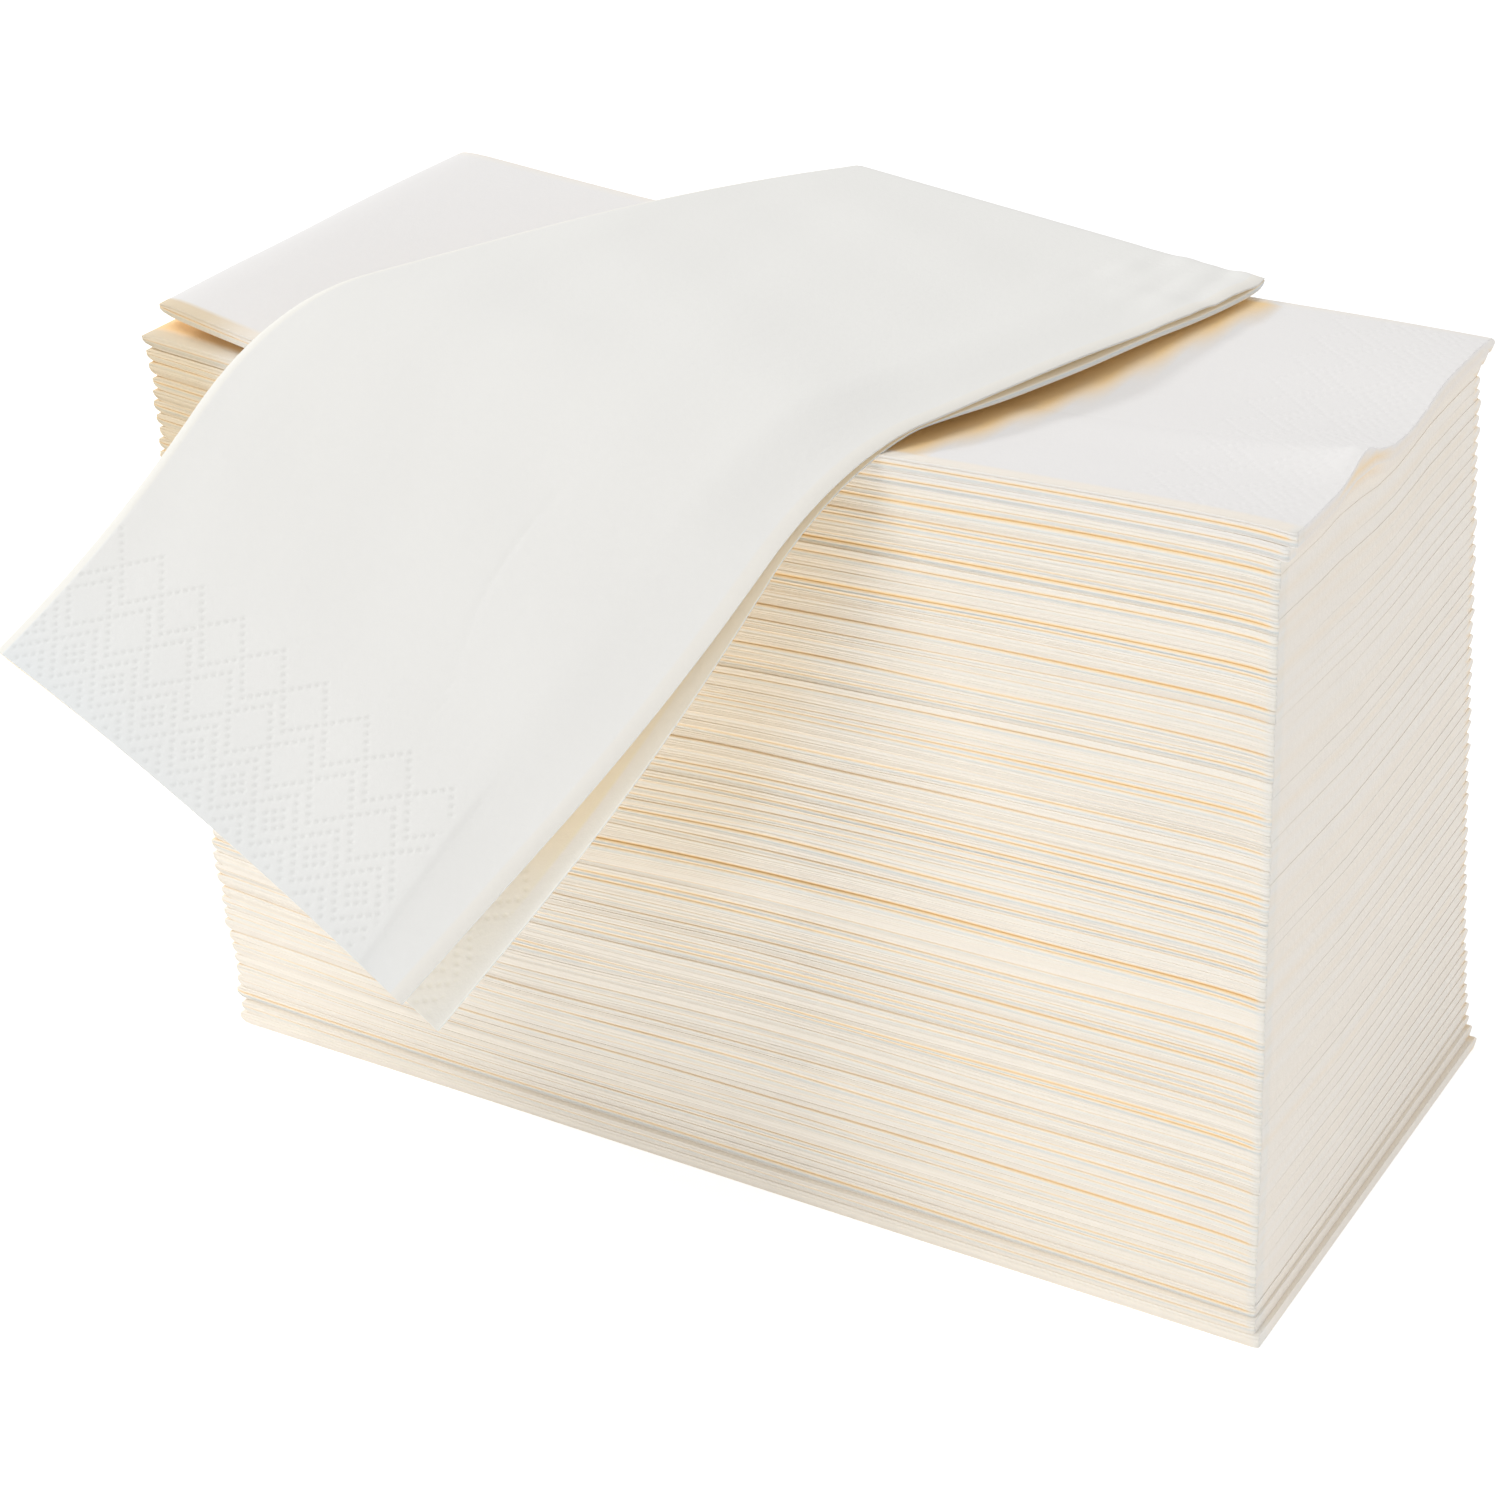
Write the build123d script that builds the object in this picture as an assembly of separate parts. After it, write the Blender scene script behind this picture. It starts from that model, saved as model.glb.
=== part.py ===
from build123d import *
import math
import os

# Folded napkin, in millimetres. X runs along it, Y across it from the open side to the folded side.
napkin_length = 214.0
napkin_width = 101.0
napkin_count = 59
stack_height = 145.0

# Rounding of the soft edges
open_edge_round = 1.1
fold_edge_round = 2.4
end_fold_round = 2.6
slit_width = 0.22
slit_root_depth = 3.0

# How the napkins of the stack lie
scatter_rates = (0.37, 2.399, 1.7)
edge_scatter = 0.55
end_scatter = 0.6
base_spread = 1.9
top_spread = 2.4
end_lean = 4.4
lean_pivot_share = 0.35
top_lift = 2.4
loose_at_base = 3
loose_at_top = 2

# Napkin that hangs over the front of the stack, bent about lines that run nearly along the stack
drape_thickness = 2.5
drape_slit = 0.3
drape_gape = 8.5
drape_gape_start = 96.0
drape_corner_x = -30.0
drape_back_overhang = 24.0
drape_turn = 3.94
drape_skew = 17.9
drape_tilt = 6.39
drape_bend_before_edge = 6.0
drape_bend_run = 36.2
drape_bend_angle = 53.5
drape_relax_angle = 36.7
drape_straight_end = 0.7
drape_right_lift = 1.0
drape_left_droop = 4.4
drape_lift_run = 90.0
seat_clearance = 0.12
air_gap = 0.12

# Height of the stack over its nominal height, at four stations along it and three across it
length_stations_shares = (-0.5, -0.30, 0.10, 0.5)
width_stations_shares = (-0.5, -0.15, 0.5)
height_table_shares = (
    (1.007, 0.979, 0.997, 1.000),
    (1.014, 0.976, 0.972, 0.969),
    (1.041, 1.007, 0.990, 0.976),
)
settle_power = 4
length_stations = [share * napkin_length for share in length_stations_shares]
width_stations = [share * napkin_width for share in width_stations_shares]

# Outline of a folded edge: how far in from the edge and how high in the thickness each point lies
leaf_edge_shares = ((1.0, 0.0), (0.0, 0.26), (0.0, 0.74), (1.0, 1.0))
fold_lobe_shares = ((1.0, 1.0), (0.3, 0.86), (0.0, 0.62), (0.0, 0.38), (0.3, 0.14), (1.0, 0.0))
tip_share = 0.42

# Places of the sections along the draped napkin and of the points across it, closest at its bend
drape_length_shares = (0, 0.22, 0.4, 0.45, 0.49, 0.53, 0.57, 0.61, 0.65, 0.69, 0.73, 0.79, 0.88, 1)
drape_width_shares = (0.2, 0.4, 0.6, 0.8)
seat_steps = 16


def between(position, stations):
    """Index of the span of the stations that holds a position, and the share of the way along it."""
    last = len(stations) - 2
    index = 0
    while index < last and position > stations[index + 1]:
        index += 1
    span = stations[index + 1] - stations[index]
    return index, (position - stations[index]) / span


def height_share(x, y):
    """Height of the stack as a share of the nominal height, flat on each half of a station's field."""
    i, along = between(x, length_stations)
    j, across = between(y, width_stations)
    start = height_table_shares[j][i]
    end = height_table_shares[j + 1][i + 1]
    if along > across:
        middle = height_table_shares[j][i + 1]
        return start + (middle - start) * along + (end - middle) * across
    middle = height_table_shares[j + 1][i]
    return start + (middle - start) * across + (end - middle) * along


def layer_height(layer, x, y):
    """Height of the surface over a number of napkins. The dish in it grows fast near the base."""
    level = layer / napkin_count
    settled = 1 - (1 - level) ** settle_power
    return stack_height * (level + (height_share(x, y) - 1) * settled)


def scatter(index, salt):
    """Uneven value from -1 to 1 for a napkin, the same on every run."""
    return math.sin(index * index * scatter_rates[0] + index * scatter_rates[1] + salt * scatter_rates[2])


def tip_rise_share(x, y):
    """Share of its full rise that a loose top napkin has. The open corner at its folded end rises most."""
    return max(-x / napkin_length, 0) * max(0.5 - y / napkin_width, 0)


def hairpin(width, stations, slit_share):
    """Outline across a napkin folded lengthwise: distance from the open side, share of the thickness."""
    leaf = (1 - slit_share) / 2
    inner = [place for place in stations if open_edge_round < place < width - fold_edge_round]
    root = (width - fold_edge_round - slit_root_depth, 0.5)
    lower_edge = [(share * open_edge_round, height * leaf) for share, height in leaf_edge_shares]
    upper_edge = [(place, height + 1 - leaf) for place, height in lower_edge]
    lobe = [(width - share * fold_edge_round, height) for share, height in fold_lobe_shares]
    outline = lower_edge + [(place, leaf) for place in inner] + [root]
    outline += [(place, 1 - leaf) for place in reversed(inner)] + upper_edge
    outline += [(place, 1.0) for place in inner] + lobe
    outline += [(place, 0.0) for place in reversed(inner)]
    return outline


def facets(sections):
    """Triangles that join successive sections, split the same way in plan, so that warped layers nest."""
    for near, far in zip(sections, sections[1:]):
        for corner in range(len(near)):
            before = corner - 1
            if near[before].Y < near[corner].Y:
                near_end, far_end = near[before], far[corner]
            else:
                near_end, far_end = near[corner], far[before]
            yield near[before], near[corner], far_end
            yield far[corner], far[before], near_end


def flat_faced_loft(sections):
    """Solid that joins sections with equal numbers of points by flat triangles, so that it may be warped."""
    outlines = [sections[0], sections[-1]] + list(facets(sections))
    return Solid(Shell([Face(Wire.make_polygon(outline)) for outline in outlines]))


def stack_napkin(index):
    """Folded napkin of the stack, counted from the base, as a loft along its length."""
    level = index / napkin_count
    front = width_stations[0] + edge_scatter * scatter(index, 1)
    back = width_stations[-1] + edge_scatter * scatter(index, 2)
    left = length_stations[0] + end_scatter * scatter(index, 3)
    right = length_stations[-1] + end_scatter * scatter(index, 4)
    from_base = max(loose_at_base - index, 0) / loose_at_base
    from_top = max(index - napkin_count + 1 + loose_at_top, 0) / loose_at_top
    right += base_spread * from_base
    front -= base_spread * from_base / 2
    left -= top_spread * from_top / 2
    right += top_spread * from_top
    lean = end_lean * (level - lean_pivot_share) * (1 - from_top)
    lift_at_tip = top_lift * from_top**2
    pitch = stack_height / napkin_count
    slit_share = slit_width / pitch
    width = back - front
    outline = hairpin(width, [station - front for station in width_stations[1:-1]], slit_share)

    def section(x, swell, lean=0):
        points = []
        for place, height in outline:
            y = front + place
            x_here = x - lean * place / width
            low = layer_height(index, x_here, y)
            high = layer_height(index + 1, x_here, y) - air_gap
            lift = lift_at_tip * tip_rise_share(x_here, y)
            points.append(Vector(x_here, y, low + (high - low) * (0.5 + swell * (height - 0.5)) + lift))
        return points

    sections = [section(left, tip_share), section(left + end_fold_round, 1)]
    sections += [section(x, 1) for x in length_stations[1:-1]]
    sections.append(section(right, 1, lean))
    return flat_faced_loft(sections)


def bent_run(distance):
    """Run forward and drop at a distance along the bent napkin, with the slope there, in radians."""
    bend = math.radians(drape_bend_angle)
    relax = math.radians(drape_relax_angle)
    flat_run = drape_back_overhang + napkin_width - drape_bend_before_edge
    shortest_run = napkin_length * math.cos(math.radians(drape_skew))
    relax_run = shortest_run - flat_run - drape_bend_run - drape_straight_end
    spans = (
        (flat_run, 0.0, 0.0),
        (drape_bend_run, 0.0, bend),
        (relax_run, bend, relax),
        (math.inf, relax, relax),
    )
    forward = 0.0
    drop = 0.0
    slope = 0.0
    for length, start, end in spans:
        used = min(distance, length)
        if start == end:
            forward += used * math.cos(start)
            drop += used * math.sin(start)
            slope = start
        else:
            curve = (end - start) / length
            slope = start + curve * used
            forward += (math.sin(slope) - math.sin(start)) / curve
            drop += (math.cos(start) - math.cos(slope)) / curve
        distance -= used
        if distance <= 0:
            break
    return forward, drop, slope


def drape_point(across, along):
    """Place and upward normal on the middle of the draped napkin, before it is seated."""
    turn = math.radians(drape_turn)
    tilt = math.radians(drape_tilt)
    skew = math.radians(drape_skew)
    ruling = Vector(math.cos(turn) * math.cos(tilt), math.sin(turn) * math.cos(tilt), -math.sin(tilt))
    ahead = Vector(math.sin(turn), -math.cos(turn), 0)
    upward = ruling.cross(ahead) * -1
    side = across * math.cos(skew) - along * math.sin(skew)
    forward, drop, slope = bent_run(across * math.sin(skew) + along * math.cos(skew))
    corner = Vector(drape_corner_x, napkin_width / 2 + drape_back_overhang, stack_height)
    place = corner + ruling * side + ahead * forward - upward * drop
    share = across / napkin_width
    fall = max(1 - along / drape_lift_run, 0) ** 2
    lift = (drape_right_lift * share - drape_left_droop * (1 - share)) * fall
    normal = upward * math.cos(slope) + ahead * math.sin(slope)
    return place + Vector(0, 0, lift), normal


def drape_outline(along, swell):
    """Points round the draped napkin at a distance along it from its top end. Its leaves gape further down."""
    inner = [share * napkin_width for share in drape_width_shares]
    opened = max(along - drape_gape_start, 0) / (napkin_length - drape_gape_start)
    points = []
    for place, height in hairpin(napkin_width, inner, drape_slit / drape_thickness):
        across = napkin_width - place
        centre, normal = drape_point(across, along)
        depth = (height - 0.5) * drape_thickness * swell
        if height < 0.5:
            depth -= drape_gape * opened * across / napkin_width
        points.append(centre + normal * depth)
    return points


def seat_height(sections):
    """Height by which the draped napkin has to move for its underside to rest on the flat top of the stack."""
    front = width_stations[0] + open_edge_round / 2
    back = width_stations[-1] - fold_edge_round
    tallest = -math.inf
    for start, middle, end in facets(sections):
        if max(abs(start.Y), abs(middle.Y), abs(end.Y)) > napkin_width:
            continue
        for step in range(seat_steps + 1):
            left = start + (middle - start) * (step / seat_steps)
            right = end + (middle - end) * (step / seat_steps)
            for share in range(seat_steps + 1):
                point = left + (right - left) * (share / seat_steps)
                if front < point.Y < back:
                    top = layer_height(napkin_count, point.X, point.Y)
                    top += top_lift * tip_rise_share(point.X, point.Y)
                    tallest = max(tallest, top - point.Z)
    return tallest + seat_clearance


def draped_napkin():
    """Folded napkin that lies on the stack and hangs over its front, as a loft along its length."""
    places = [share * napkin_length for share in drape_length_shares]
    places.insert(1, end_fold_round)
    swells = [tip_share] + [1] * (len(places) - 1)
    loose = [drape_outline(place, swell) for place, swell in zip(places, swells)]
    seat = seat_height(loose)
    return flat_faced_loft([[point + Vector(0, 0, seat) for point in outline] for outline in loose])


os.makedirs("parts", exist_ok=True)
for number in range(napkin_count):
    export_step(stack_napkin(number), f"parts/napkin_{number + 1:02d}.step")
export_step(draped_napkin(), "parts/draped_napkin.step")
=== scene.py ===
import bpy
from math import cos, exp, inf, log, pi, radians, sin, sqrt
import numpy as np
from mathutils import Matrix, Vector


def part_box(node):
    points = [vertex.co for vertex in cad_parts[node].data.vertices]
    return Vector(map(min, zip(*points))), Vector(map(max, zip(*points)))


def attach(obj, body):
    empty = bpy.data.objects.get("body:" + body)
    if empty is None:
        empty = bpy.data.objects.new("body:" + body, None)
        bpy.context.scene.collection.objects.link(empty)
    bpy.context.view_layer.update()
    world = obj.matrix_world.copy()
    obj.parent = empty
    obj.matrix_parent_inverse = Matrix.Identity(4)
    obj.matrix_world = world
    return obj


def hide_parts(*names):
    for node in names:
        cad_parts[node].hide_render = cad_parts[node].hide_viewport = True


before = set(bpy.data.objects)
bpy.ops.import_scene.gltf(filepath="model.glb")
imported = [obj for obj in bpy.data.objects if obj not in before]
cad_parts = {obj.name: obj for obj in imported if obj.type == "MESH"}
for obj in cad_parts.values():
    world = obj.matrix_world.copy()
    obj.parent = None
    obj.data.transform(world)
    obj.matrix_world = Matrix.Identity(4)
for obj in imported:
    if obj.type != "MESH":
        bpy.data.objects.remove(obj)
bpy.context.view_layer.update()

MM = 0.001

# First seeds of the random draws. Each layer, line, leaf and napkin adds one, and the edges of a napkin ten.
LAYER_SEED, LINE_SEED, LEAF_SEED, LEAF_WAVE_SEED = 100, 3000, 7100, 40
NAPKIN_SEED, OUTLINE_SEED, EDGE_SEED, EDGE_SEED_STEP, UPPER_EDGE_SEED = 500, 1300, 7000, 10, 5

# Folded napkin and stack, in millimetres, as in the CAD source
NAPKIN_LENGTH = 214.0
NAPKIN_WIDTH = 101.0
NAPKIN_COUNT = 59
STACK_HEIGHT = 145.0
END_LEAN = 4.4
LEAN_PIVOT_SHARE = 0.35
TOP_SPREAD = 2.4
LOOSE_AT_BASE = 3
LOOSE_AT_TOP = 2
SETTLE_POWER = 4
LENGTH_STATIONS = np.array((-0.5, -0.30, 0.10, 0.5)) * NAPKIN_LENGTH
WIDTH_STATIONS = np.array((-0.5, -0.15, 0.5)) * NAPKIN_WIDTH
HEIGHT_SHARES = np.array([
    (1.007, 0.979, 0.997, 1.000),
    (1.014, 0.976, 0.972, 0.969),
    (1.041, 1.007, 0.990, 0.976),
])
CUT_END = NAPKIN_LENGTH / 2
STACK_FRONT = -NAPKIN_WIDTH / 2

# Draped napkin, in millimetres and degrees, as in the CAD source
DRAPE_THICKNESS = 2.5
DRAPE_SLIT = 0.3
DRAPE_GAPE = 8.5
DRAPE_GAPE_START = 96.0
DRAPE_CORNER_X = -30.0
DRAPE_BACK_OVERHANG = 24.0
DRAPE_TURN = radians(3.94)
DRAPE_SKEW = radians(17.9)
DRAPE_TILT = radians(6.39)
DRAPE_BEND_BEFORE_EDGE = 6.0
DRAPE_BEND_RUN = 36.2
DRAPE_BEND_ANGLE = radians(53.5)
DRAPE_RELAX_ANGLE = radians(36.7)
DRAPE_STRAIGHT_END = 0.7
DRAPE_RIGHT_LIFT = 1.0
DRAPE_LEFT_DROOP = 4.4
DRAPE_LIFT_RUN = 90.0

# Embossed border at the cut end, in millimetres: rows of dotted diamonds, the two outer rows filled
NET_STEP = 1.0
DOT_STEP = NET_STEP * sqrt(2)
DOT_GRID = NET_STEP / 3
DOT_RADIUS = 0.56
DOT_DEPTH = 0.2
TOP_DOT_DEPTH = 0.1
DOT_POWER = 1.5
DIAMOND_PITCH = 10 * NET_STEP
DIAMOND_HALF = 2.5
FILLED_HALF = 1
ROW_PITCH = 24 * DOT_GRID
BORDER_ROWS = (-2, -1, 0, 1)
FIRST_DIAMOND, FIRST_ROW = 18.4, 15.1
PLAIN_END = 0.7
FINE_STEPS = 44


def smooth_step(value):
    """0 up to 0, 1 from 1 on and smooth between them."""
    value = np.clip(value, 0, 1)
    return value * value * (3 - 2 * value)


def ramp(value, start, end):
    """0 up to the start, 1 from the end on and smooth between them. The end may be the lower of the two."""
    return smooth_step((value - start) / (end - start))


def bell(value, middle, reach):
    """1 at the middle and falling off smoothly to both sides."""
    return np.exp(-(((value - middle) / reach) ** 2))


def waves(count, longest, shortest, seed):
    """Random plane waves: wave numbers in X and Y, phase and weight, for a smooth uneven field."""
    rng = np.random.default_rng(seed)
    lengths = np.exp(rng.uniform(log(shortest), log(longest), count))
    heading = rng.uniform(0, 2 * pi, count)
    phase = rng.uniform(0, 2 * pi, count)
    number = 2 * pi / lengths
    weight = lengths / lengths.max()
    weight /= sqrt((weight**2).sum() / 2)
    return number * np.cos(heading), number * np.sin(heading), phase, weight


def field(x, y, table):
    """Sum of the waves at places, with a spread of about one."""
    total = np.zeros(np.broadcast(x, y).shape)
    for x_number, y_number, phase, weight in zip(*table):
        total += weight * np.sin(x_number * x + y_number * y + phase)
    return total


def through(values, stations, place):
    """Smooth curve through values at stations, run on straight past the ends."""
    slopes = np.gradient(values, stations)
    index = np.clip(np.searchsorted(stations, place) - 1, 0, len(stations) - 2)
    span = stations[index + 1] - stations[index]
    share = (place - stations[index]) / span
    inside = np.clip(share, 0, 1)
    start, end = values[index], values[index + 1]
    start_rise, end_rise = slopes[index] * span, slopes[index + 1] * span
    square, cube = inside**2, inside**3
    curve = start * (2 * cube - 3 * square + 1) + start_rise * (cube - 2 * square + inside)
    curve = curve + end * (3 * square - 2 * cube) + end_rise * (cube - square)
    return curve + np.where(share < 0, start_rise * share, 0) + np.where(share > 1, end_rise * (share - 1), 0)


def from_base_share(index):
    """1 for the lowest napkin, down to 0 where the stack is no longer loose."""
    return max(LOOSE_AT_BASE - index, 0) / LOOSE_AT_BASE


def from_top_share(index):
    """1 for the uppermost napkin, down to 0 where the stack is no longer loose."""
    return max(index - NAPKIN_COUNT + 1 + LOOSE_AT_TOP, 0) / LOOSE_AT_TOP


# Rounding of the knot in the height table, and how uneven each layer is
BOWL_SHARE = 0.18
BOWL_REACH_SHARE = 0.12
LAYER_UNEVENNESS, LOOSE_POWER = 0.18, 6
LAYER_WAVES_ACROSS = 0.3
LAYERS = range(NAPKIN_COUNT + 1)
LAYER_WAVES = [waves(count=5, longest=220, shortest=40, seed=LAYER_SEED + layer) for layer in LAYERS]

# Rise of the stack's back edge over the CAD surface, and its further rise towards the left end
BACK_RISE, LEFT_BACK_RISE = 0.9, 0.9
BACK_RISE_POWER = 1.5
LEFT_BACK_SPAN = (-30.0, -80.0)


def height_share(x, y):
    """Height of the stack as a share of the nominal height, with one rounded knot across it."""
    front, middle, back = [through(row, LENGTH_STATIONS, x) for row in HEIGHT_SHARES]
    depth = WIDTH_STATIONS[-1] - WIDTH_STATIONS[0]
    place = (y - WIDTH_STATIONS[0]) / depth
    knot = (WIDTH_STATIONS[1] - WIDTH_STATIONS[0]) / depth
    before, after = place / knot, (place - knot) / (1 - knot)
    near = front * (1 - before) + middle * before
    far = middle * (1 - after) + back * after
    bowl = (front * (1 - knot) + back * knot - middle) * BOWL_SHARE
    return np.where(y <= WIDTH_STATIONS[1], near, far) + bowl * bell(place, knot, BOWL_REACH_SHARE)


def layer_height(layer, x, y):
    """Height of the surface over a number of napkins."""
    level = layer / NAPKIN_COUNT
    settled = 1 - (1 - level) ** SETTLE_POWER
    loose = 1 - abs(2 * level - 1) ** LOOSE_POWER
    uneven = LAYER_UNEVENNESS * loose * field(x, LAYER_WAVES_ACROSS * y, LAYER_WAVES[layer])
    towards_back = np.clip(y / NAPKIN_WIDTH + 0.5, 0, 1) ** BACK_RISE_POWER
    back = towards_back * (BACK_RISE + LEFT_BACK_RISE * ramp(x, *LEFT_BACK_SPAN)) * level**2
    return STACK_HEIGHT * (level + (height_share(x, y) - 1) * settled) + uneven + end_wave(layer, x, y) + back


# Wave of the uppermost napkins at their cut ends, in millimetres above the smooth surface
WAVE_STATIONS = np.array((-52.0, -44.0, -34.0, -22.0, -10.0, 2.0, 11.0, 19.0, 30.0, 42.0, 52.0))
WAVE_HEIGHTS = np.array((-0.9, -0.7, 0.0, 0.3, 0.1, -0.7, -0.2, 0.8, 0.6, -0.2, -1.6))
WAVE_RUN, WAVE_FADE = 26.0, 0.86

# Bump in that wave, its place across the stack and reach, and the crack that it opens between napkins
BUMP_PLACE, BUMP_REACH = -19.0, 7.5
BUMP_HEIGHT, BUMP_FADE = 2.4, 0.8
CRACK_NAPKINS, CRACK_HEIGHT, CRACK_RUN = 2, 0.7, 3.5

# Rise of the open corner at the left end, and curl of the uppermost napkin there
TIP_LIFT = 2.6
CURL_STATIONS = np.array((-50.0, -25.0, 0.0, 30.0, 50.0))
CURL_HEIGHTS = np.array((1.9, 2.1, 1.5, 0.8, 0.0))
CURL_SPAN = (62.0 - CUT_END, -CUT_END)


def from_cut_end(x):
    """Distance in from the cut ends, zero past them."""
    return np.clip(CUT_END - x, 0, None)


def end_wave(layer, x, y):
    """Wave of a layer near the cut ends, less with each layer down."""
    down = NAPKIN_COUNT - layer
    wave = through(WAVE_HEIGHTS, WAVE_STATIONS, y) * WAVE_FADE**down
    bump = BUMP_HEIGHT * bell(y, BUMP_PLACE, BUMP_REACH) * BUMP_FADE**down
    return (wave + bump) * np.exp(-from_cut_end(x) / WAVE_RUN)


def napkin_lift(index, x, y):
    """Height by which the loose uppermost napkins stand off the ones below."""
    to_left, to_front = np.maximum(-x / NAPKIN_LENGTH, 0), np.maximum(0.5 - y / NAPKIN_WIDTH, 0)
    lift = TIP_LIFT * from_top_share(index) ** 2 * to_left * to_front
    if index >= NAPKIN_COUNT - CRACK_NAPKINS:
        lift = lift + CRACK_HEIGHT * bell(y, BUMP_PLACE, BUMP_REACH) * np.exp(-from_cut_end(x) / CRACK_RUN)
    if index == NAPKIN_COUNT - 1:
        lift = lift + through(CURL_HEIGHTS, CURL_STATIONS, y) * ramp(x, *CURL_SPAN)
    return lift


# Zones of the outline round a folded napkin, in their order from the lower leaf's open edge
ZONES = range(8)
LOWER_EDGE, LOWER_SLIT, ROOT, UPPER_SLIT, UPPER_EDGE, TOP, FOLD, BASE = ZONES


def in_zones(zones, *wanted):
    """Which points of the outline are in some zones, as a row that spreads over all sections."""
    return np.isin(zones, wanted)[None, :]


def zip_chains(outer, inner, place):
    """Triangles between two rows of points that start and end together and run inwards by their places."""
    faces = []
    i = j = 0
    while i < len(outer) - 1 or j < len(inner) - 1:
        next_outer = place[outer[i + 1]] if i < len(outer) - 1 else inf
        next_inner = place[inner[j + 1]] if j < len(inner) - 1 else inf
        if next_outer <= next_inner:
            faces.append((outer[i], outer[i + 1], inner[j]))
            i += 1
        else:
            faces.append((outer[i], inner[j + 1], inner[j]))
            j += 1
    return [face for face in faces if len(set(face)) == 3]


def cap_faces(zones, place):
    """Triangles over the cut across a folded napkin, leaf by leaf."""
    rows = {zone: list(np.flatnonzero(zones == zone)) for zone in ZONES}
    low_edge, high_edge, fold = rows[LOWER_EDGE], rows[UPPER_EDGE], rows[FOLD]
    low_mid, high_mid, fold_mid = len(low_edge) // 2, len(high_edge) // 2, len(fold) // 2
    root = rows[ROOT] + [fold[fold_mid]]
    below = low_edge[low_mid::-1] + rows[BASE][::-1] + fold[: fold_mid - 1 : -1]
    above_lower = low_edge[low_mid:] + rows[LOWER_SLIT] + root
    over = high_edge[high_mid:] + rows[TOP] + fold[: fold_mid + 1]
    under_upper = high_edge[high_mid::-1] + rows[UPPER_SLIT][::-1] + root
    lower = zip_chains(below, above_lower, place)
    upper = [face[::-1] for face in zip_chains(over, under_upper, place)]
    return np.array(lower + upper)


def outward_faces(points, index, zones, place):
    """Quads between neighbouring sections and triangles over both ends, all turned outwards."""
    following = np.roll(index, -1, axis=1)
    quads = np.stack((index[:-1], following[:-1], following[1:], index[1:]), axis=-1).reshape(-1, 4)
    a, b, c = [points[quads[:, corner]] for corner in range(3)]
    if (np.cross(b - a, c - a) * (a - points.mean(axis=0))).sum() < 0:
        quads = quads[:, ::-1]
    cap = cap_faces(zones, place)
    caps = np.concatenate((cap, cap[:, ::-1] + index[-1, 0]))
    a, b, c = [points[cap[:, corner]] for corner in range(3)]
    outward = points[index[0]].mean(axis=0) - points[index[1]].mean(axis=0)
    if (np.cross(b - a, c - a).sum(axis=0) * outward).sum() < 0:
        caps = caps[:, ::-1]
    return quads, caps


def mesh_object(name, grid, marks, zones, place, material, nodes):
    """Closed mesh from a grid of sections along the piece, with a value at each point for every mark."""
    sections, around = grid.shape[:2]
    points = grid.reshape(-1, 3)
    index = np.arange(sections * around).reshape(sections, around)
    quads, caps = outward_faces(points, index, zones, place)
    corners = np.concatenate((quads.ravel(), caps.ravel()))
    sizes = np.concatenate((np.full(len(quads), 4), np.full(len(caps), 3)))
    starts = np.concatenate(([0], np.cumsum(sizes)[:-1]))

    mesh = bpy.data.meshes.new(name)
    mesh.vertices.add(len(points))
    mesh.vertices.foreach_set("co", (points * MM).ravel())
    mesh.loops.add(len(corners))
    mesh.loops.foreach_set("vertex_index", corners.astype(np.int32))
    mesh.polygons.add(len(sizes))
    mesh.polygons.foreach_set("loop_start", starts.astype(np.int32))
    mesh.polygons.foreach_set("loop_total", sizes.astype(np.int32))
    mesh.update(calc_edges=True)
    mesh.polygons.foreach_set("use_smooth", sizes == 4)
    for mark, values in marks.items():
        attribute = mesh.attributes.new(mark, "FLOAT", "POINT")
        attribute.data.foreach_set("value", np.broadcast_to(values, index.shape).astype(np.float32).ravel())
    mesh.materials.append(material)
    piece = add_object(name, mesh)
    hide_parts(*nodes)
    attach(piece, "root")
    return piece


def add_object(name, data):
    made = bpy.data.objects.new(name, data)
    bpy.context.scene.collection.objects.link(made)
    return made


class Outline:
    """Points round one napkin at each of its sections, with the marks that its material reads."""

    def __init__(self, sections):
        self.sections = sections
        self.zone = None
        self.zones = []
        self.columns = {"place": [], "height": [], "gap": [], "cool": []}

    def add(self, place, height, gap=0.0, cool=0.0):
        """One point: how far in from the front, height as a share, painted warm glow and painted bluish
        shade.
        """
        self.zones.append(self.zone)
        for key, value in (("place", place), ("height", height), ("gap", gap), ("cool", cool)):
            self.columns[key].append(np.broadcast_to(value, self.sections.shape))

    def row(self, zone, places, height, gap=0.0):
        """Points at one height, which make up a zone."""
        self.zone = zone
        for place in places:
            self.add(place, height, gap)

    def arrays(self):
        """Zone of each point round the outline, and its values at all sections."""
        columns = {key: np.stack(values, axis=1) for key, values in self.columns.items()}
        return np.array(self.zones), columns


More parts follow.
